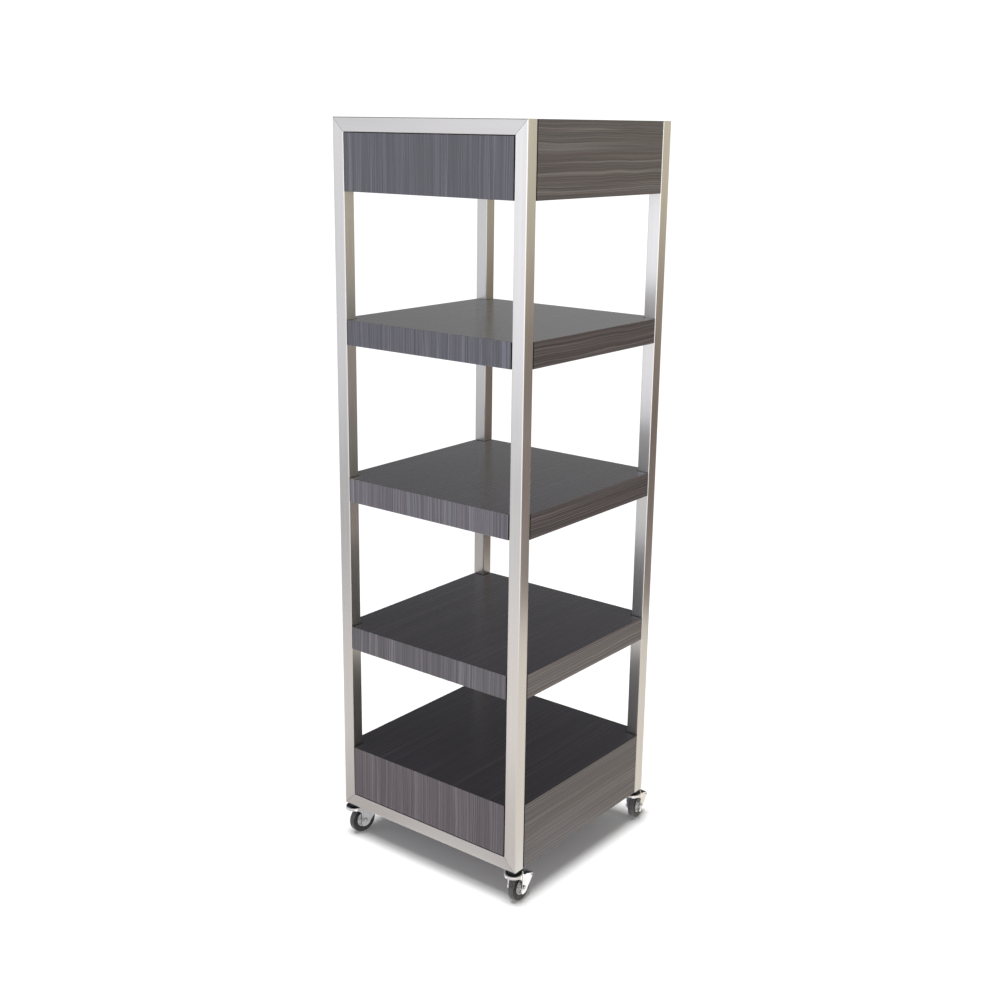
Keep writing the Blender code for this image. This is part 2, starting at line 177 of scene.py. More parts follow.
# Casters, in caster space: x across the fork, u back along it from the stem, z up from the frame
CORNERS = ("front_left", "front_right", "rear_left", "rear_right")
GAP = 0.0003
SOCKET_RADIUS = 0.007
SOCKET_FLANGE_RADIUS = 0.011
SOCKET_FLANGE = 0.0015
SOCKET_DEPTH = 0.022
STEM_RADIUS = 0.004
STEM_TOP = 0.019
RACE_RADIUS = 0.0125
RACE_TOP = -(GAP + SOCKET_FLANGE + GAP)
WAIST_RADIUS = 0.0028
WAIST_SETBACK = 0.0015
KINGPIN_RADIUS = 0.0044
KINGPIN_HEAD_RADIUS = 0.007
KINGPIN_HEAD = 0.0018
PLATE_TOP = -0.0085
PLATE_END = 0.0180
FORK_SHEET = 0.0025
DISH_RADIUS = 0.0180
DISH_DEPTH = 0.0008
CROWN_RADIUS = 0.021
CROWN_SKIRT = -0.0155
CROWN_ROUNDING = 0.0030
SKIRT_END = -0.0115
LEG_SWEEP = 0.0180
LEG_HALF = 0.0130
LEG_END_RADIUS = 0.0160
DIP_RADIUS = 0.0110
DIP_U = 0.0290
DIP_Z = -0.0105
LUG_RADIUS = 0.0040
PIVOT_RADIUS = 0.0016
AXLE_RADIUS = 0.0035
AXLE_HEAD_RADIUS = 0.0045
AXLE_HEAD = 0.0030
WASHER_RADIUS = 0.0051
WASHER = 0.0008
HUB_RADIUS = 0.0185
HUB_RIM = 0.0158
HUB_HALF = 0.0060
HUB_WEB_HALF = 0.0025
HUB_RIBS = 6
RIB_HALF = 0.0007
RIB_REACH = 0.0052
BOSS_RADIUS = 0.0075
BOSS_HALF = 0.0100
WHEEL_HALF = 0.0075
SHOULDER = 0.0030
BEAD_LIP = 0.0012
SIDEWALL = ((0.0030, 0.0004), (0.0038, 0.0), (0.0046, 0.0), (0.0052, 0.0006))
GROOVE_X = 0.0024
GROOVE_HALF = 0.0006
GROOVE_DEPTH = 0.0007
CROWN_RISE = 0.0001
TREAD_DROP = 0.0012
PEDAL_HALF = 0.0080
STUB_PROUD = 0.0008
ARCH = 0.0040
ARCH_INSIDE = 0.0022
SHOE = 0.0012
TAIL_START = Vector((0.0582, -0.0299))
TAIL_END = Vector((0.0657, -0.0374))
TAIL_UNDERSIDE = ((0.0658, -0.0392), (0.0615, -0.0374), (0.0590, -0.0348))
HEEL = ((0.0586, -0.0402), (0.0575, -0.0428), (0.0563, -0.0416))
TREAD_RIDGES = 3
RIDGE = 0.0005
SHEET_ROUNDING = 0.0004
MERGE = 0.00008
SLIVER = 0.00005


# ---- Mesh helpers ---------------------------------------------------------------------------

def node_body(node):
    """The CAD body that a node belongs to."""
    bodies = frame["record"]["behaviour"]["bodies"]
    return next(body for body, members in bodies.items() if node in members)


def add_piece(name, bm, node, materials, smooth_angle=35.0, also=()):
    """A finished piece that stands for a CAD node and rides on its body."""
    bmesh.ops.recalc_face_normals(bm, faces=bm.faces)
    mesh = bpy.data.meshes.new(name)
    bm.to_mesh(mesh)
    bm.free()
    for material in materials:
        mesh.materials.append(material)
    mesh.shade_smooth()
    mesh.set_sharp_from_angle(angle=radians(smooth_angle))
    piece = bpy.data.objects.new(name, mesh)
    bpy.context.collection.objects.link(piece)
    flat = piece.modifiers.new("keep_faces_flat", "WEIGHTED_NORMAL")
    flat.keep_sharp = True
    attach(piece, node_body(node))
    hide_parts(node, *also)
    return piece


def join_rings(bm, first, second):
    """Faces between two rings of vertices, either of which may be a single vertex."""
    count = max(len(first), len(second))
    faces = []
    for step in range(count):
        after = (step + 1) % count
        corners = [first[step % len(first)], first[after % len(first)]]
        corners += [second[after % len(second)], second[step % len(second)]]
        faces.append(bm.faces.new(list(dict.fromkeys(corners))))
    return faces


def arc(centre, radius, start, end, steps):
    """Points on an arc; the angles are in degrees from the first axis towards the second."""
    angles = [radians(start + (end - start) * step / steps) for step in range(steps + 1)]
    return [(centre[0] + radius * cos(a), centre[1] + radius * sin(a)) for a in angles]


def whole_faces(node):
    """A CAD node's shape with its triangles merged back into whole faces."""
    bm = bmesh.new()
    bm.from_mesh(frame["nodes"][node].data)
    bmesh.ops.remove_doubles(bm, verts=bm.verts, dist=1e-6)
    bmesh.ops.dissolve_limit(bm, angle_limit=radians(0.5), verts=bm.verts, edges=bm.edges)
    return bm


def soften(bm, edges, width, material=-1, segments=3, above=40.0):
    """Round those of the edges that are sharp."""
    sharp = [edge for edge in edges if edge.is_manifold and edge.calc_face_angle() > radians(above)]
    bmesh.ops.bevel(bm, geom=sharp, offset=width, segments=segments, profile=0.5, affect="EDGES",
                    clamp_overlap=True, material=material)


def loft(outlines):
    """A closed solid through outlines that have the same number of points."""
    bm = bmesh.new()
    rings = [[bm.verts.new(point) for point in outline] for outline in outlines]
    bm.faces.new(rings[0])
    bm.faces.new(rings[-1])
    for first, second in zip(rings, rings[1:]):
        join_rings(bm, first, second)
    return bm


def turned(profile, segments, across=False):
    """Spin (radius, height) points about Z, or about X for a piece that lies across the fork."""
    bm = bmesh.new()
    angles = [2 * pi * step / segments for step in range(segments)]
    rings = []
    for radius, height in profile:
        if radius == 0.0:
            rings.append([bm.verts.new((0.0, 0.0, height))])
        else:
            rings.append([bm.verts.new((radius * cos(a), radius * sin(a), height)) for a in angles])
    for first, second in zip(rings, rings[1:]):
        join_rings(bm, first, second)
    if profile[0][0] > 0.0:
        join_rings(bm, rings[-1], rings[0])
    if across:
        bmesh.ops.rotate(bm, verts=bm.verts, matrix=Matrix.Rotation(pi / 2, 3, "Y"))
    return bm


def rod(radius, low, high, segments, across=False):
    """A plain round bar, used as a drill or a pin."""
    return turned([(0.0, low), (radius, low), (radius, high), (0.0, high)], segments, across)


def moved(bm, x, y, z):
    """The same bmesh, shifted."""
    bmesh.ops.translate(bm, verts=bm.verts, vec=(x, y, z))
    return bm


def across_fork(outline, half):
    """A side outline of (u, z) points, extruded evenly to both sides of the fork's middle."""
    return loft([[(side * half, u, z) for u, z in outline] for side in (-1, 1)])


def guide(bm):
    """A short-lived object that holds a shape for a Boolean step."""
    bmesh.ops.recalc_face_normals(bm, faces=bm.faces)
    mesh = bpy.data.meshes.new("guide")
    bm.to_mesh(mesh)
    bm.free()
    made = bpy.data.objects.new("guide", mesh)
    bpy.context.collection.objects.link(made)
    return made


def combined(bm, steps):
    """The shape after Boolean steps, each an operation and another shape."""
    target = guide(bm)
    tools = []
    for operation, tool in steps:
        tools.append(guide(tool))
        boolean = target.modifiers.new(operation, "BOOLEAN")
        boolean.operation = operation
        boolean.object = tools[-1]
    evaluated = target.evaluated_get(bpy.context.evaluated_depsgraph_get())
    result = bmesh.new()
    result.from_mesh(evaluated.to_mesh())
    evaluated.to_mesh_clear()
    for used in (target, *tools):
        mesh = used.data
        bpy.data.objects.remove(used)
        bpy.data.meshes.remove(mesh)
    return result


# ---- Node helpers ---------------------------------------------------------------------------

class Nodes:
    """Short calls for building a node tree."""

    def __init__(self, tree):
        self.tree = tree

    def put(self, socket, value):
        """Set an input, or link it if the value is another node's output."""
        if isinstance(value, bpy.types.NodeSocket):
            self.tree.links.new(value, socket)
        else:
            socket.default_value = value

    def node(self, kind, inputs=(), **settings):
        """A node with its inputs filled in order."""
        made = self.tree.nodes.new(kind)
        for key, value in settings.items():
            setattr(made, key, value)
        for index, value in enumerate(inputs):
            if value is not None:
                self.put(made.inputs[index], value)
        return made

    def math(self, operation, *inputs):
        return self.node("ShaderNodeMath", inputs, operation=operation).outputs[0]

    def place(self):
        """The point's place in the model, in metres."""
        return self.node("ShaderNodeTexCoord").outputs["Object"]

    def object_normal(self):
        """The way that the surface faces in the model."""
        return self.node("ShaderNodeTexCoord").outputs["Normal"]

    def scaled(self, vector, scale):
        """A place stretched by three factors."""
        return self.node("ShaderNodeVectorMath", (vector, scale), operation="MULTIPLY").outputs[0]

    def along(self, vector, axis):
        """How far a vector reaches along an axis."""
        made = self.node("ShaderNodeVectorMath", (vector, axis), operation="DOT_PRODUCT")
        return made.outputs["Value"]

    def noise(self, vector, scale=1.0, detail=2.0, roughness=0.5):
        made = self.node("ShaderNodeTexNoise")
        self.put(made.inputs["Vector"], vector)
        made.inputs["Scale"].default_value = scale
        made.inputs["Detail"].default_value = detail
        made.inputs["Roughness"].default_value = roughness
        return made.outputs["Fac"]

    def spread(self, value, low, high, to_low=0.0, to_high=1.0):
        """Map low..high to to_low..to_high, held at both ends."""
        made = self.node("ShaderNodeMapRange", (value, low, high, to_low, to_high))
        return made.outputs[0]

    def ramp(self, value, stops):
        """Colours or greys at positions from 0 to 1."""
        made = self.node("ShaderNodeValToRGB", (value,))
        elements = made.color_ramp.elements
        while len(elements) < len(stops):
            elements.new(0.5)
        for element, (position, colour) in zip(elements, stops):
            element.position = position
            element.color = (*colour, 1.0)
        return made.outputs[0]

    def mix(self, factor, first, second, blend="MIX"):
        """Blend two colours."""
        made = self.node("ShaderNodeMix", data_type="RGBA", blend_type=blend)
        self.put(made.inputs[0], factor)
        for socket, value in ((made.inputs[6], first), (made.inputs[7], second)):
            self.put(socket, (*value, 1.0) if isinstance(value, tuple) else value)
        return made.outputs[2]

    def bump(self, height, distance, strength=1.0):
        made = self.node("ShaderNodeBump")
        self.put(made.inputs["Strength"], strength)
        made.inputs["Distance"].default_value = distance
        self.put(made.inputs["Height"], height)
        return made.outputs["Normal"]


class Shading(Nodes):
    """One material's nodes, round a Principled shader."""

    def __init__(self, name):
        self.material = bpy.data.materials.new(name)
        self.material.use_nodes = True
        super().__init__(self.material.node_tree)
        self.shader = self.tree.nodes["Principled BSDF"]

    def set(self, **inputs):
        """Set the shader's inputs by name, with _ for a space."""
        for name, value in inputs.items():
            if isinstance(value, tuple) and len(value) == 3:
                value = (*value, 1.0)
            self.put(self.shader.inputs[name.replace("_", " ")], value)


# ---- Materials ------------------------------------------------------------------------------

def laminate(name, light=1.0, roughness=0.27):
    """Dark straight-grained wood laminate, mapped by each board's own grain attribute."""
    s = Shading(name)
    grain = s.node("ShaderNodeAttribute", attribute_name="grain").outputs["Vector"]
    slow = s.noise(s.scaled(grain, (11.0, 8.0, 1.0)), detail=1.0)
    wander = s.math("MULTIPLY", s.math("SUBTRACT", slow, 0.5), 0.007)
    parts = s.node("ShaderNodeSeparateXYZ", (grain,)).outputs
    across = s.math("ADD", parts[0], wander)
    sheet = s.node("ShaderNodeCombineXYZ", (across, parts[1], parts[2])).outputs[0]
    bands = s.noise(s.scaled(sheet, (26.0, 0.5, 1.0)), detail=1.0)
    streaks = s.noise(s.scaled(sheet, (460.0, 0.8, 1.0)), detail=1.5, roughness=0.6)
    fibres = s.noise(s.scaled(sheet, (820.0, 3.0, 1.0)), detail=2.0, roughness=0.6)
    pores = s.noise(s.scaled(sheet, (1900.0, 45.0, 1.0)), detail=1.0)
    line_field = s.noise(s.scaled(sheet, (85.0, 0.7, 1.0)), detail=1.0)
    from_line = s.math("ABSOLUTE", s.math("SUBTRACT", line_field, 0.5))
    lines = s.spread(from_line, 0.0, 0.045, 1.0, 0.0)
    line_strength = s.spread(s.noise(s.scaled(sheet, (60.0, 0.9, 1.0)), detail=1.0), 0.40, 0.62)
    lines = s.math("MULTIPLY", lines, line_strength)
    tone = s.math("ADD", s.math("MULTIPLY", bands, 0.12), s.math("MULTIPLY", streaks, 0.50))
    tone = s.math("ADD", tone, s.math("MULTIPLY", fibres, 0.38))
    colour = s.ramp(s.spread(tone, 0.32, 0.68), (
        (0.0, (0.042 * light, 0.040 * light, 0.043 * light)),
        (0.5, (0.081 * light, 0.076 * light, 0.079 * light)),
        (1.0, (0.150 * light, 0.141 * light, 0.146 * light)),
    ))
    warmth = s.spread(s.noise(s.scaled(sheet, (210.0, 0.9, 1.7)), detail=1.0), 0.40, 0.60)
    colour = s.mix(warmth, s.mix(1.0, colour, (1.04, 0.99, 0.98), "MULTIPLY"),
                   s.mix(1.0, colour, (0.97, 1.00, 1.03), "MULTIPLY"))
    pale = (0.200 * light, 0.192 * light, 0.192 * light)
    colour = s.mix(s.math("MULTIPLY", lines, 0.66), colour, pale)
    pore_mask = s.spread(pores, 0.62, 0.72)
    colour = s.mix(s.math("MULTIPLY", pore_mask, 0.4), colour, (0.03, 0.028, 0.028))
    facing_up = s.math("ABSOLUTE", s.node("ShaderNodeSeparateXYZ", (s.object_normal(),)).outputs[2])
    calm = (0.074 * light, 0.071 * light, 0.074 * light)
    colour = s.mix(s.math("MULTIPLY", facing_up, 0.45), colour, calm)
    # Painted light: each face's stored paleness, set by which way it points, multiplied into the colour
    painted_light = s.node("ShaderNodeAttribute", attribute_name="painted_light").outputs["Vector"]
    s.set(Base_Color=s.mix(1.0, colour, painted_light, "MULTIPLY"))
    uneven = s.math("MULTIPLY", s.math("SUBTRACT", streaks, 0.5), s.spread(facing_up, 0.0, 1.0, 0.12, 0.02))
    s.set(Roughness=s.math("ADD", uneven, roughness))
    relief = s.math("SUBTRACT", s.math("ADD", streaks, s.math("MULTIPLY", fibres, 0.5)), pore_mask)
    s.set(Normal=s.bump(relief, 0.00002, s.spread(facing_up, 0.0, 1.0, 0.5, 0.04)))
    return s.material


def near_black_laminate():
    """Near-black on the board faces that aren't on the tower's outside, such as the ends by the posts."""
    s = Shading("board_near_black")
    rub = s.noise(s.place(), 260.0, 3.0)
    s.set(Base_Color=s.mix(s.spread(rub, 0.4, 0.7), (0.012, 0.012, 0.013), (0.026, 0.025, 0.026)))
    s.set(Roughness=s.spread(rub, 0.3, 0.7, 0.42, 0.58))
    s.set(Normal=s.bump(rub, 0.00004, 0.4))
    return s.material


def brushed_steel(name, along, tone=1.0):
    """Brushed stainless with its scratches running along one axis; a lower tone darkens it as painted
    shade.
    """
    s = Shading(name)
    index = "XYZ".index(along)

    def stretched(across_scale, along_scale):
        scale = [across_scale] * 3
        scale[index] = along_scale
        return s.scaled(s.place(), tuple(scale))

    scratches = s.noise(stretched(2600.0, 14.0), detail=3.0, roughness=0.65)
    streaks = s.noise(stretched(260.0, 1.6), detail=2.0)
    cloud = s.noise(stretched(9.0, 3.0), detail=2.0)
    shade = s.math("ADD", s.math("MULTIPLY", scratches, 0.45), s.math("MULTIPLY", streaks, 0.35))
    shade = s.math("ADD", shade, s.math("MULTIPLY", cloud, 0.20))
    s.set(Base_Color=s.ramp(s.spread(shade, 0.32, 0.68), (
        (0.0, (0.640 * tone, 0.630 * tone, 0.615 * tone)),
        (0.5, (0.685 * tone, 0.677 * tone, 0.663 * tone)),
        (1.0, (0.730 * tone, 0.724 * tone, 0.713 * tone)),
    )))
    s.set(Metallic=1.0, Anisotropic=0.8)
    s.set(Roughness=s.spread(s.math("ADD", scratches, cloud), 0.7, 1.3, 0.26, 0.34))
    s.set(Tangent=s.node("ShaderNodeTangent", direction_type="RADIAL", axis=along).outputs[0])
    s.set(Normal=s.bump(scratches, 0.00003, 0.5))
    return s.material


def chrome():
    """Bright plating with a little orange peel and a few dull smears."""
    s = Shading("chrome_plate")
    smear = s.noise(s.place(), 55.0, 3.0)
    s.set(Base_Color=s.mix(s.spread(smear, 0.45, 0.75), (0.80, 0.80, 0.81), (0.70, 0.69, 0.68)))
    s.set(Metallic=1.0, Roughness=s.spread(smear, 0.4, 0.75, 0.06, 0.17))
    s.set(Normal=s.bump(s.noise(s.place(), 420.0, 2.0), 0.00004, 0.35))
    return s.material


def zinc():
    """Dull plated steel with a mottled spangle."""
    s = Shading("zinc_plate")
    cells = s.node("ShaderNodeTexVoronoi")
    cells.inputs["Scale"].default_value = 900.0
    s.put(cells.inputs["Vector"], s.place())
    fog = s.noise(s.place(), 140.0, 3.0)
    spangle = s.mix(s.spread(cells.outputs["Distance"], 0.1, 0.7), (0.56, 0.56, 0.55), (0.66, 0.66, 0.64))
    s.set(Base_Color=s.mix(s.spread(fog, 0.4, 0.7), spangle, (0.45, 0.45, 0.44)))
    s.set(Metallic=1.0, Roughness=s.spread(fog, 0.3, 0.7, 0.26, 0.42))
    s.set(Normal=s.bump(fog, 0.00005, 0.4))
    return s.material


def painted_shade_metal():
    """Near-black steel on the swivel's race and the crown's dish: painted shade in the gap under the frame,
    and a painted dark reflection of the frame's underside in the dish.
    """
    s = Shading("raceway_painted_shade")
    film = s.noise(s.place(), 320.0, 3.0)
    s.set(Base_Color=s.mix(s.spread(film, 0.35, 0.7), (0.018, 0.020, 0.024), (0.050, 0.052, 0.056)))
    s.set(Metallic=0.3, Roughness=s.spread(film, 0.3, 0.7, 0.34, 0.55))
    s.set(Normal=s.bump(film, 0.00005, 0.4))
    return s.material


def lacquer():
    """Semi-gloss black lacquer with fine orange peel and rubbed patches."""
    s = Shading("black_lacquer")
    rub = s.noise(s.place(), 180.0, 3.0)
    s.set(Base_Color=s.mix(s.spread(rub, 0.5, 0.8), (0.013, 0.013, 0.014), (0.040, 0.039, 0.038)))
    s.set(Roughness=s.spread(rub, 0.3, 0.7, 0.30, 0.46))
    s.set(Normal=s.bump(s.noise(s.place(), 900.0, 2.0), 0.00004, 0.4))
    return s.material


def rubber(name, dark, dusty):
    """Moulded rubber with dust in its texture."""
    s = Shading(name)
    dust = s.noise(s.place(), 130.0, 4.0, 0.6)
    grit = s.noise(s.place(), 1500.0, 2.0)
    s.set(Base_Color=s.mix(s.spread(dust, 0.38, 0.70), dark, dusty))
    s.set(Roughness=s.spread(dust, 0.3, 0.7, 0.50, 0.72))
    s.set(Normal=s.bump(s.math("ADD", grit, dust), 0.0001, 0.5))
    return s.material


def hub_plastic():
    """Pale grey moulded plastic."""
    s = Shading("hub_plastic")
    flow = s.noise(s.place(), 90.0, 3.0)
    s.set(Base_Color=s.mix(flow, (0.62, 0.615, 0.605), (0.74, 0.735, 0.72)))
    s.set(Roughness=s.spread(flow, 0.3, 0.7, 0.38, 0.52))
    s.set(Normal=s.bump(s.noise(s.place(), 1100.0, 2.0), 0.00005, 0.4))
    return s.material


def floor_paint():
    """Matt white studio floor with the faintest mottling."""
    s = Shading("studio_floor")
    mottle = s.noise(s.place(), 6.0, 4.0)
    s.set(Base_Color=s.mix(mottle, (0.90, 0.90, 0.90), (0.92, 0.92, 0.92)))
    s.set(Roughness=s.spread(mottle, 0.3, 0.7, 0.75, 0.85))
    s.set(Specular_IOR_Level=0.1)
    return s.material


# ---- Frames ---------------------------------------------------------------------------------

def square_ring(half, corner):
    """Points round a square with rounded corners."""
    points = []
    centre = half - corner
    for quarter, (x, y) in enumerate(((1, 1), (-1, 1), (-1, -1), (1, -1))):
        start = quarter * 90
        points += arc((x * centre, y * centre), corner, start, start + 90, TUBE_CORNER_STEPS)
    return points


def tube_shape(start, along, inward, length, width):
    """A mitred square tube, with a fine chamfer at each cut so that the weld line shows."""
    bm = bmesh.new()
    across = along.cross(inward)
    full = square_ring(width / 2, TUBE_CORNER)
    drawn_in = square_ring(width / 2 - SEAM, TUBE_CORNER - SEAM)
    hollow = square_ring(width / 2 - TUBE_WALL, TUBE_CORNER - TUBE_WALL)
    rings = []
    for points, back, at_far_end in (
        (drawn_in, 0.0, False), (full, SEAM, False), (full, SEAM, True), (drawn_in, 0.0, True),
        (hollow, 0.0, True), (hollow, 0.0, False),
    ):
        ring = []
        for offset_in, offset_across in points:
            setback = width / 2 + offset_in + back
            run = length - setback if at_far_end else setback
            ring.append(bm.verts.new(start + along * run + inward * offset_in + across * offset_across))
        rings.append(ring)
    for first, second in zip(rings, rings[1:] + rings[:1]):
        join_rings(bm, first, second)
    return bm


def build_tubes():
    """Posts and rails, brushed along their length."""
    right = Vector((1.0, 0.0, 0.0))
    for frame_side in ("front", "rear"):
        for place, inward in (("left_post", right), ("right_post", -right),
                              ("bottom_rail", UP), ("top_rail", -UP)):
            node = f"{frame_side}_{place}"
            low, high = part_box(node)
            is_post = place.endswith("post")
            along = UP if is_post else right
            width = high.y - low.y
            middle = (low + high) / 2
            length = (high - low).dot(along)
            bm = tube_shape(middle - along * length / 2, along, inward, length, width)
            # A tone below one paints shade onto this tube
            finish = brushed_steel(f"brushed_{node}", "Z" if is_post else "X", TUBE_PAINTED_SHADE.get(node, 1.0))
            add_piece(f"{node}_brushed", bm, node, [finish])


# ---- Boards ---------------------------------------------------------------------------------

def lay_grain(piece, sheet, painted_light_factors):
    """Store where each face corner lies in its laminate sheet, and its painted light: a paleness set by
    which way the face points.
    """
    front, end, top, hue = painted_light_factors
    front_painted_light = Vector([painted_light * share * front for painted_light, share in zip(FRONT_PAINTED_LIGHT, hue)])
    end_painted_light = Vector(END_PAINTED_LIGHT) * end
    top_painted_light = Vector(TOP_PAINTED_LIGHT) * top
    mesh = piece.data
    grain = mesh.attributes.new("grain", "FLOAT_VECTOR", "CORNER")
    painted_light = mesh.attributes.new("painted_light", "FLOAT_VECTOR", "CORNER")
    for face in mesh.polygons:
        is_end = abs(face.normal.x) > 0.7
        is_front = abs(face.normal.y) > 0.7
        pale = end_painted_light if is_end else front_painted_light if is_front else top_painted_light
        for corner in face.loop_indices:
            x, y, z = mesh.vertices[mesh.loops[corner].vertex_index].co
            grain.data[corner].vector = (z, y, sheet) if is_end else (x, y + z, sheet)
            painted_light.data[corner].vector = pale


def mark_inner_faces(bm):
    """Mark the upright faces that aren't on the tower's outside: they are drawn near-black."""
    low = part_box("front_left_post")[0]
    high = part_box("rear_right_post")[1]
    for face in bm.faces:
        centre = face.calc_center_median()
        normal = face.normal
        if abs(normal.z) > 0.5:
            continue
        if abs(normal.x) > 0.7:
            from_outside = min(centre.x - low.x, high.x - centre.x)
        else:
            from_outside = min(centre.y - low.y, high.y - centre.y)
        if from_outside > TUBE_CORNER:
            face.material_index = NEAR_BLACK


def finish_board(name, bm, node, arris, finishes, sheet, painted_light_factors, also=()):
    """Round a board's edges, paler where laminate meets laminate as a painted highlight, and lay its grain
    and its painted light.
    """
    bm.normal_update()
    mark_inner_faces(bm)
    laminated = [
        edge for edge in bm.edges if all(face.material_index == LAMINATED for face in edge.link_faces)
    ]
    soften(bm, laminated, arris, HIGHLIGHT_ARRIS)
    soften(bm, bm.edges, arris / 2, NEAR_BLACK)
    piece = add_piece(name, bm, node, finishes, also=also)
    lay_grain(piece, SHEET_STEP * sheet, painted_light_factors)


def build_boards():
    """The two boxes' panels and the three shelves."""
    # The second laminate is drawn 1.4 times paler: a painted highlight on the rounded arrises
    finishes = [laminate("wood_laminate"), laminate("wood_laminate_arris_highlight", light=1.4), near_black_laminate()]
    sheet = 0
    for box, notched, between_rails in (("header", "bottom_board", "top_board"),
                                        ("base", "deck", "bottom_board")):
        for place in ("front_panel", "rear_panel", "left_panel", "right_panel", notched, between_rails):
            node = f"{box}_{place}"
            finish_board(f"{node}_laminated", whole_faces(node), node, PANEL_ARRIS, finishes, sheet,
                         SHEET_PAINTED_LIGHT[box])
            sheet += 1
    for shelf in ("upper", "middle", "lower"):
        top, core, bottom = (f"{shelf}_shelf_{ply}" for ply in ("top_board", "core", "bottom_board"))
        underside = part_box(bottom)[0].z
        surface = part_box(top)[1].z
        bm = whole_faces(top)
        for vertex in bm.verts:
            if vertex.co.z < surface - SHELF_ARRIS:
                vertex.co.z = underside
        finish_board(f"{shelf}_shelf_laminated", bm, top, SHELF_ARRIS, finishes, sheet,
                     SHEET_PAINTED_LIGHT[shelf], (core, bottom))
        sheet += 1


# ---- Casters --------------------------------------------------------------------------------

def joint(name):
    """A joint's place and axis."""
    found = next(entry for entry in frame["joints"] if entry["name"] == name)
    return Vector(found["pos_m"]), Vector(found["axis"])


class Caster:
    """Where one caster stands, and how its pieces are placed and named."""

    def __init__(self, corner):
        self.corner = corner
        stem = joint(f"{corner}_swivel_turn")[0]
        wheel, across = joint(f"{corner}_wheel_spin")
        turn = Matrix((across, UP.cross(across), UP)).transposed()
        self.space = Matrix.Translation(stem) @ turn.to_4x4()
        self.axle = (self.space.inverted() @ wheel).yz
        self.pivot = (self.space.inverted() @ joint(f"{corner}_brake_press")[0]).yz
        low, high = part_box(f"{corner}_caster_tyre")
        self.wheel_radius = (high.z - low.z) / 2

    def add(self, part, look, bm, slot, materials):
        """Place a piece made in caster space; it stands for the CAD node of the same part."""
        bmesh.ops.transform(bm, matrix=self.space, verts=bm.verts)
        node = f"{self.corner}_{part}"
        return add_piece(f"{node}_{look}", bm, node, materials)


def socket_shape():
    """A flanged insert with a chamfered rim."""
    bore = STEM_RADIUS + GAP
    bottom = -GAP - SOCKET_FLANGE
    chamfer = 0.0004
    return turned([
        (bore, SOCKET_DEPTH),
        (SOCKET_RADIUS - chamfer, SOCKET_DEPTH),
        (SOCKET_RADIUS, SOCKET_DEPTH - chamfer),
        (SOCKET_RADIUS, -GAP),
        (SOCKET_FLANGE_RADIUS, -GAP),
        (SOCKET_FLANGE_RADIUS, bottom + chamfer),
        (SOCKET_FLANGE_RADIUS - chamfer, bottom),
        (bore + chamfer, bottom),
        (bore, bottom + chamfer),
    ], 48)


def paint_shade_within(bm, radius, low, high):
    """Give the second material, a painted shade, to the faces within a drum round the stem's axis."""
    for face in bm.faces:
        centre = face.calc_center_median()
        if centre.xy.length < radius and low < centre.z < high:
            face.material_index = 1


def stem_shape():
    """Stem, race with a rolled waist, kingpin and its flared head."""
    race_bottom = PLATE_TOP + GAP
    head_top = PLATE_TOP - FORK_SHEET - GAP
    head_bottom = head_top - KINGPIN_HEAD
    chamfer = 0.0012
    waist_centre = ((RACE_TOP + race_bottom) / 2, RACE_RADIUS + WAIST_SETBACK)
    waist = [(radius, height) for height, radius in arc(waist_centre, WAIST_RADIUS, 230.0, 310.0, 6)]
    bm = turned([
        (0.0, STEM_TOP),
        (STEM_RADIUS - chamfer, STEM_TOP),
        (STEM_RADIUS, STEM_TOP - chamfer),
        (STEM_RADIUS, RACE_TOP),
        (RACE_RADIUS - chamfer, RACE_TOP),
        (RACE_RADIUS, RACE_TOP - chamfer),
        *reversed(waist),
        (RACE_RADIUS, race_bottom + chamfer),
        (RACE_RADIUS - chamfer, race_bottom),
        (KINGPIN_RADIUS, race_bottom),
        (KINGPIN_RADIUS, head_top),
        (KINGPIN_HEAD_RADIUS, head_top),
        (KINGPIN_HEAD_RADIUS, head_top - KINGPIN_HEAD / 3),
        (KINGPIN_HEAD_RADIUS - chamfer, head_bottom),
        (0.0, head_bottom),
    ], 48)
    # Painted shade on the stem and race between the frame and the crown
    paint_shade_within(bm, 2 * RACE_RADIUS, race_bottom - chamfer, 0.0)
    return bm


def keyhole_plan(inset, rear, z):
    """The fork from above: a round crown in front, two straight legs behind."""
    radius = CROWN_RADIUS - inset
    half = LEG_HALF - inset
    neck = degrees(acos(half / radius))
    points = arc((0.0, 0.0), radius, neck, -180.0 - neck, 56)
    points += [(-half, rear), (half, rear)]
    return [(x, u, z) for x, u in points]


def rounded_keyhole(inset, rear, low, high):
    """A keyhole block with a rounded top edge."""
    edge = CROWN_ROUNDING - inset
    steps = 6
    outlines = [keyhole_plan(inset, rear, low)]
    for step in range(steps + 1):
        lean = pi / 2 * step / steps
        drawn_in = edge * (1 - cos(lean))
        outlines.append(keyhole_plan(inset + drawn_in, rear, high - edge * (1 - sin(lean))))
    return loft(outlines)


def fork_side(caster):
    """The fork from the side: crown skirt, leg down to the axle, brake lug, and the top edge."""
    margin = 0.004
    points = [(-CROWN_RADIUS - margin, PLATE_TOP + margin), (-CROWN_RADIUS - margin, CROWN_SKIRT)]
    points += arc((SKIRT_END, CROWN_SKIRT - LEG_SWEEP), LEG_SWEEP, 90.0, 10.0, 16)
    points += arc(caster.axle, LEG_END_RADIUS, 155.0, 340.0, 28)
    points += arc(caster.pivot, LUG_RADIUS, -40.0, 100.0, 10)
    points += arc((DIP_U, DIP_Z), DIP_RADIUS, -75.0, -165.0, 12)
    points += [(PLATE_END, PLATE_TOP + margin)]
    return points


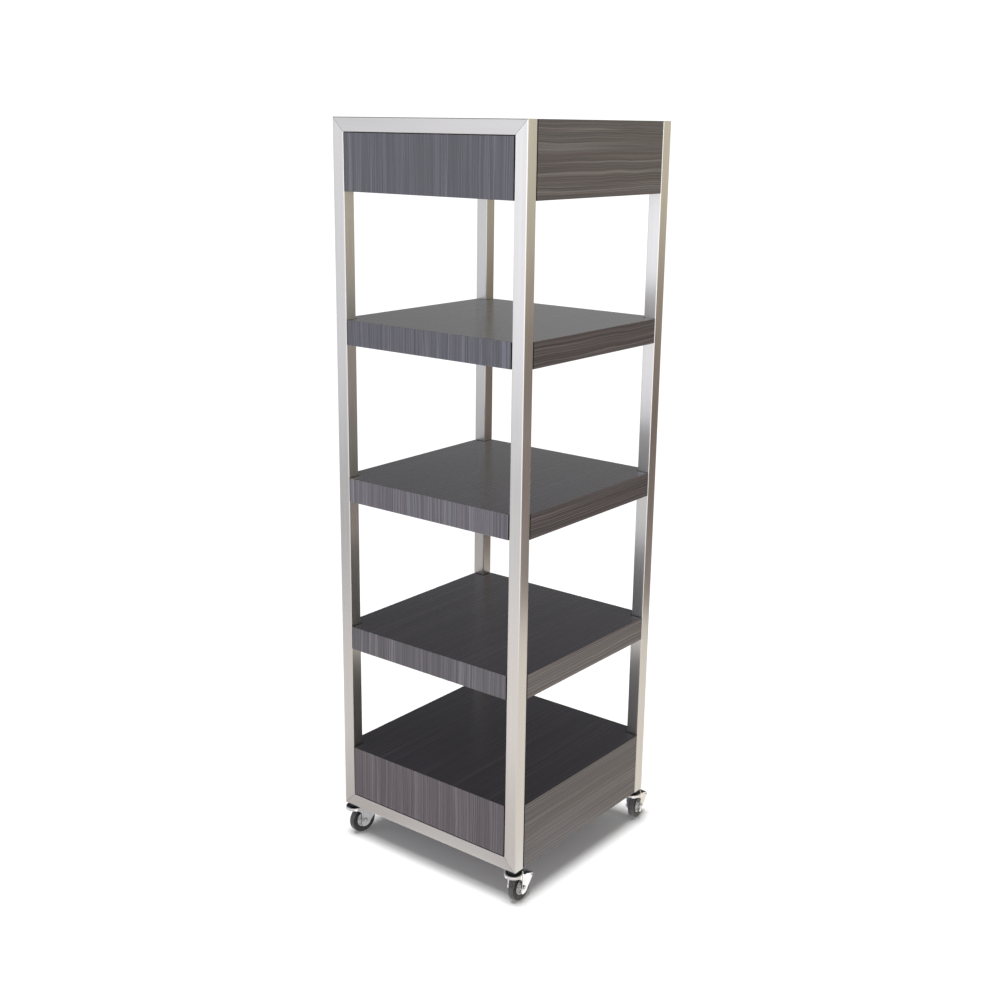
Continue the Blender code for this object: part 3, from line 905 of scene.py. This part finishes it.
def dish_cutter():
    """The shallow dish pressed into the crown's top, round the kingpin."""
    floor = PLATE_TOP - DISH_DEPTH
    above = PLATE_TOP + DISH_DEPTH / 4
    return turned([
        (0.0, floor),
        (DISH_RADIUS - 4 * DISH_DEPTH, floor),
        (DISH_RADIUS + DISH_DEPTH, above),
        (0.0, above),
    ], 56)


def fork_shape(caster):
    """A stamped crown with a dished top and two legs, drilled for its three pins."""
    low = caster.axle[1] - LEG_END_RADIUS
    rear = caster.pivot[0] + LUG_RADIUS
    far = 2 * CROWN_RADIUS
    bm = combined(rounded_keyhole(0.0, rear, low, PLATE_TOP), (
        ("INTERSECT", across_fork(fork_side(caster), far)),
        ("DIFFERENCE", rounded_keyhole(FORK_SHEET, rear + far, low - far, PLATE_TOP - FORK_SHEET)),
        ("DIFFERENCE", dish_cutter()),
        ("DIFFERENCE", rod(KINGPIN_RADIUS + GAP, -far, far, 40)),
        ("DIFFERENCE", moved(rod(AXLE_RADIUS + GAP, -far, far, 32, across=True), 0.0, *caster.axle)),
        ("DIFFERENCE", moved(rod(PIVOT_RADIUS + GAP, -far, far, 20, across=True), 0.0, *caster.pivot)),
    ))
    bmesh.ops.remove_doubles(bm, verts=bm.verts, dist=MERGE)
    bmesh.ops.dissolve_degenerate(bm, edges=bm.edges, dist=SLIVER)
    soften(bm, bm.edges, SHEET_ROUNDING, segments=2)
    # Painted shade and painted dark reflection in the crown's dish
    paint_shade_within(bm, DISH_RADIUS, PLATE_TOP - 2 * DISH_DEPTH, PLATE_TOP)
    return bm


def tyre_shape(caster):
    """A rubber tyre: bead, moulding line on the sidewall, round shoulders and two tread grooves.
    The running surface has the second material."""
    radius = caster.wheel_radius
    bead = HUB_RADIUS + GAP
    side = [(bead, HUB_HALF), (bead + BEAD_LIP, HUB_HALF + BEAD_LIP)]
    side += [(bead + reach, WHEEL_HALF - drop) for reach, drop in SIDEWALL]
    side += arc((radius - SHOULDER, WHEEL_HALF - SHOULDER), SHOULDER, 90.0, 10.0, 9)
    side += [
        (radius - CROWN_RISE, GROOVE_X + GROOVE_HALF),
        (radius - GROOVE_DEPTH, GROOVE_X + GROOVE_HALF / 2),
        (radius - GROOVE_DEPTH, GROOVE_X - GROOVE_HALF / 2),
        (radius, GROOVE_X - GROOVE_HALF),
    ]
    profile = side + [(reach, -x) for reach, x in reversed(side)]
    bm = turned(profile, 96, across=True)
    for face in bm.faces:
        if face.calc_center_median().yz.length > radius - TREAD_DROP:
            face.material_index = 1
    return moved(bm, 0.0, *caster.axle)


def hub_shape(caster):
    """A moulded wheel centre: bored boss, web, ribs and a rim that carries the tyre."""
    bore = AXLE_RADIUS + GAP
    edge = 0.0005
    side = [
        (bore, BOSS_HALF),
        (BOSS_RADIUS - edge, BOSS_HALF),
        (BOSS_RADIUS, BOSS_HALF - edge),
        (BOSS_RADIUS + edge, HUB_WEB_HALF + edge),
        (BOSS_RADIUS + 3 * edge, HUB_WEB_HALF),
        (HUB_RIM - 2 * edge, HUB_WEB_HALF),
        (HUB_RIM, HUB_WEB_HALF + edge),
        (HUB_RIM + edge, HUB_HALF - edge),
        (HUB_RIM + 2 * edge, HUB_HALF),
        (HUB_RADIUS, HUB_HALF),
    ]
    profile = side + [(reach, -x) for reach, x in reversed(side)]
    ribs = []
    for index in range(HUB_RIBS):
        middle = (HUB_RIM + BOSS_RADIUS) / 2
        reach = (HUB_RIM - BOSS_RADIUS) / 2 + edge
        outline = [(middle - reach, -RIB_HALF), (middle + reach, -RIB_HALF),
                   (middle + reach, RIB_HALF), (middle - reach, RIB_HALF)]
        rib = across_fork(outline, RIB_REACH)
        bmesh.ops.rotate(rib, verts=rib.verts, matrix=Matrix.Rotation(2 * pi * index / HUB_RIBS, 3, "X"))
        ribs.append(("UNION", rib))
    return moved(combined(turned(profile, 72, across=True), ribs), 0.0, *caster.axle)


def hexagon(radius, x):
    """A hexagon round the axle line, with three points along each flat."""
    points = []
    for step in range(24):
        angle = step * pi / 12
        from_flat = (angle + pi / 6) % (pi / 3) - pi / 6
        points.append((x, radius / cos(from_flat) * cos(angle), radius / cos(from_flat) * sin(angle)))
    return points


def circle(radius, x):
    """A circle round the axle line with as many points as a hexagon has."""
    return [(x, y, z) for y, z in arc((0.0, 0.0), radius, 0.0, 345.0, 23)]


def axle_shape(caster):
    """The axle bolt: a washer and a domed hexagon at each end, its thread end showing at one."""
    inner = LEG_HALF + GAP
    outer = inner + AXLE_HEAD
    dome = 0.0009
    outlines = []
    for side in (-1, 1):
        end = [
            circle(AXLE_RADIUS - 0.0006, side * outer),
            circle(AXLE_RADIUS, side * (outer - dome / 3)),
            circle(AXLE_HEAD_RADIUS - dome, side * (outer - dome / 3)),
            hexagon(AXLE_HEAD_RADIUS - dome / 4, side * (outer - dome)),
            hexagon(AXLE_HEAD_RADIUS, side * (outer - 1.6 * dome)),
            hexagon(AXLE_HEAD_RADIUS, side * (inner + WASHER)),
            circle(WASHER_RADIUS, side * (inner + WASHER)),
            circle(WASHER_RADIUS, side * inner),
            circle(AXLE_RADIUS, side * inner),
        ]
        outlines += end if side < 0 else list(reversed(end))
    return moved(loft(outlines), 0.0, *caster.axle)


def pedal_side(caster):
    """The lever from the side: arch over the tyre, ridged tail, heel and shoe below the pivot."""
    radius = caster.wheel_radius
    points = arc(caster.axle, radius + ARCH, 84.0, 42.0, 18)
    along = (TAIL_END - TAIL_START) / (2 * TREAD_RIDGES)
    up = Vector((-along.y, along.x)).normalized() * RIDGE
    points.append(tuple(TAIL_START))
    for ridge in range(TREAD_RIDGES):
        base = TAIL_START + along * (2 * ridge + 0.6)
        points += [tuple(base), tuple(base + along * 0.3 + up), tuple(base + along * 0.9 + up)]
        points.append(tuple(base + along * 1.2))
    points += [tuple(TAIL_END), *TAIL_UNDERSIDE, *HEEL]
    points += arc(caster.axle, radius + SHOE, 24.0, 39.0, 6)
    points += arc(caster.axle, radius + ARCH_INSIDE, 42.0, 84.0, 18)
    return points


def pedal_shape(caster):
    """A pressed brake lever with a rounded tail end, on stub pins in the fork's lugs."""
    reach = LEG_HALF + STUB_PROUD
    far = 2 * CROWN_RADIUS
    turn = 0.004
    tip = TAIL_END.x + RIDGE
    plan = arc((PEDAL_HALF - turn, tip - turn), turn, 0.0, 90.0, 8)
    plan += [(-x, u) for x, u in reversed(plan)]
    plan += [(-PEDAL_HALF, 0.0), (PEDAL_HALF, 0.0)]
    outline = [[(x, u, z) for x, u in plan] for z in (-far - far, far)]
    bm = combined(across_fork(pedal_side(caster), far), (("INTERSECT", loft(outline)),))
    soften(bm, bm.edges, SHEET_ROUNDING / 2, segments=2)
    stubs = moved(rod(PIVOT_RADIUS, -reach, reach, 20, across=True), 0.0, *caster.pivot)
    return combined(bm, (("UNION", stubs),))


def build_casters():
    """Four casters, each piece riding on the body of the node that it stands for."""
    plate = chrome()
    galvanised = zinc()
    painted_shade = painted_shade_metal()
    black = lacquer()
    sidewall = rubber("black_rubber", (0.007, 0.007, 0.008), (0.026, 0.026, 0.027))
    tread = rubber("dusty_tread", (0.050, 0.051, 0.056), (0.150, 0.150, 0.158))
    plastic = hub_plastic()
    for corner in CORNERS:
        caster = Caster(corner)
        caster.add("caster_socket", "plated", socket_shape(), "zinc_plate", [galvanised])
        caster.add("caster_stem", "plated", stem_shape(), "zinc_plate", [galvanised, painted_shade])
        caster.add("caster_fork", "chromed", fork_shape(caster), "chrome_plate", [plate, painted_shade])
        caster.add("caster_axle", "plated", axle_shape(caster), "zinc_plate", [galvanised])
        caster.add("caster_hub", "moulded", hub_shape(caster), "hub_plastic", [plastic])
        caster.add("caster_tyre", "rubber", tyre_shape(caster), "black_rubber", [sidewall, tread])
        caster.add("brake_pedal", "lacquered", pedal_shape(caster), "black_lacquer", [black])


# ---- Stage ----------------------------------------------------------------------------------

def build_floor():
    """A round pale floor, wide enough to fill what the camera sees near the tower."""
    bm = bmesh.new()
    bmesh.ops.create_circle(bm, cap_ends=True, segments=FLOOR_SEGMENTS, radius=FLOOR_RADIUS)
    mesh = bpy.data.meshes.new("studio_floor")
    bm.to_mesh(mesh)
    bm.free()
    mesh.materials.append(floor_paint())
    floor = bpy.data.objects.new("studio_floor", mesh)
    floor.visible_diffuse = False
    floor.visible_glossy = False
    bpy.context.collection.objects.link(floor)
    return floor


def card_light():
    """The card's glow: white round the casters, pale grey in front, warm white at the back right."""
    material = bpy.data.materials.new("reflected_floor")
    material.use_nodes = True
    nodes = Nodes(material.node_tree)
    place = nodes.place()
    back = nodes.along(place, TO_BACK_RIGHT)
    reach = nodes.node("ShaderNodeVectorMath", (place,), operation="LENGTH").outputs["Value"]
    front = nodes.mix(nodes.spread(reach, *CARD_FRONT_FADE), CARD_NEAR, CARD_FRONT)
    around = nodes.mix(nodes.spread(back, *CARD_BACK_FADE), front, CARD_BACK)
    foot = nodes.mix(nodes.spread(reach, *CARD_FOOT_START), CARD_UNDER, CARD_FOOT)
    colour = nodes.mix(nodes.spread(reach, *CARD_FOOT_END), foot, around)
    glow = nodes.node("ShaderNodeEmission", (colour, 1.0))
    nodes.put(nodes.tree.nodes["Material Output"].inputs["Surface"], glow.outputs[0])
    return material


def build_card():
    """What the tower sees in place of the floor: a glowing card just below it, hidden from the camera."""
    bm = bmesh.new()
    bmesh.ops.create_circle(bm, cap_ends=True, segments=FLOOR_SEGMENTS, radius=FLOOR_RADIUS)
    bmesh.ops.translate(bm, verts=bm.verts, vec=(0.0, 0.0, -CARD_DROP))
    mesh = bpy.data.meshes.new("reflected_floor")
    bm.to_mesh(mesh)
    bm.free()
    mesh.materials.append(card_light())
    card = bpy.data.objects.new("reflected_floor", mesh)
    card.visible_camera = False
    bpy.context.collection.objects.link(card)


def sky_colours(nodes, height, stops):
    """Light by height; each stop is the sine of the elevation and a colour at full strength."""
    ramp = [((sine + 1) / 2, tuple(value / SKY_STRENGTH for value in colour)) for sine, colour in stops]
    return nodes.ramp(height, ramp)


def build_world():
    """Soft light from all round: cool front left, bright by the camera, warm back right, dim back left."""
    world = bpy.data.worlds.new("studio")
    bpy.context.scene.world = world
    world.use_nodes = True
    nodes = Nodes(world.node_tree)
    background = nodes.tree.nodes["Background"]
    background.inputs["Strength"].default_value = SKY_STRENGTH
    direction = nodes.node("ShaderNodeTexCoord").outputs["Generated"]
    height = nodes.spread(nodes.node("ShaderNodeSeparateXYZ", (direction,)).outputs[2], -1.0, 1.0)
    front_left = sky_colours(nodes, height, FRONT_LEFT_LIGHT)
    front_right = sky_colours(nodes, height, FRONT_RIGHT_LIGHT)
    back_right = sky_colours(nodes, height, BACK_RIGHT_LIGHT)
    back_left = sky_colours(nodes, height, BACK_LEFT_LIGHT)
    to_right = nodes.along(direction, TO_BACK_RIGHT)
    to_left = nodes.along(direction, TO_BACK_LEFT)
    one = nodes.mix(nodes.spread(to_right, -0.4, 0.4), front_left, back_right)
    other = nodes.mix(nodes.spread(to_left, -0.4, 0.4), front_right, back_left)
    squares = [nodes.math("MULTIPLY", value, value) for value in (to_right, to_left)]
    share = nodes.math("DIVIDE", squares[1], nodes.math("ADD", nodes.math("ADD", *squares), 0.02))
    light = nodes.mix(share, one, other)
    shade = nodes.spread(nodes.along(direction, (-1.0, 0.0, 0.0)), *LEFT_DIMMING)
    light = nodes.mix(1.0, light, shade, "MULTIPLY")
    seen = nodes.node("ShaderNodeLightPath").outputs["Is Camera Ray"]
    nodes.put(background.inputs["Color"], nodes.mix(seen, light, BACKDROP))


def foot_pieces():
    """The pieces close above the floor: the base's underside, the bottom rails and the casters."""
    ends = ("bottom_rail_brushed", "base_bottom_board_laminated", "tyre_rubber", "fork_chromed")
    return [piece for piece in bpy.data.objects if piece.name.endswith(ends)]


def collection_of(name, things):
    """A collection for light linking that isn't part of the scene."""
    made = bpy.data.collections.new(name)
    for thing in things:
        made.objects.link(thing)
    return made


def build_floor_light(floor, blockers):
    """A wide soft lamp overhead, a little to the front; it lights the floor alone and only the
    tower's foot shades it, so the soft shadow lies under the tower."""
    data = bpy.data.lights.new("floor_lamp", "SUN")
    data.energy = FLOOR_LIGHT
    data.angle = FLOOR_LIGHT_ANGLE
    lamp = bpy.data.objects.new("floor_lamp", data)
    lamp.rotation_euler = (FLOOR_LIGHT_TILT, 0.0, 0.0)
    bpy.context.collection.objects.link(lamp)
    lamp.light_linking.receiver_collection = collection_of("lit_by_floor_lamp", [floor])
    lamp.light_linking.blocker_collection = collection_of("shades_the_floor", blockers)


def build_camera():
    """The camera at the photograph's place."""
    data = bpy.data.cameras.new("camera")
    data.lens = CAMERA_LENS
    camera = bpy.data.objects.new("camera", data)
    turn = Matrix.Rotation(CAMERA_AZIMUTH, 4, "Z") @ Matrix.Rotation(pi / 2 - CAMERA_DOWN, 4, "X")
    camera.matrix_world = Matrix.Translation(CAMERA_PLACE) @ turn @ Matrix.Rotation(CAMERA_ROLL, 4, "Z")
    bpy.context.collection.objects.link(camera)
    bpy.context.scene.camera = camera


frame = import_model()
build_camera()
build_world()
floor = build_floor()
build_card()
build_tubes()
build_boards()
build_casters()
build_floor_light(floor, foot_pieces())
bpy.context.scene.view_settings.view_transform = "Standard"
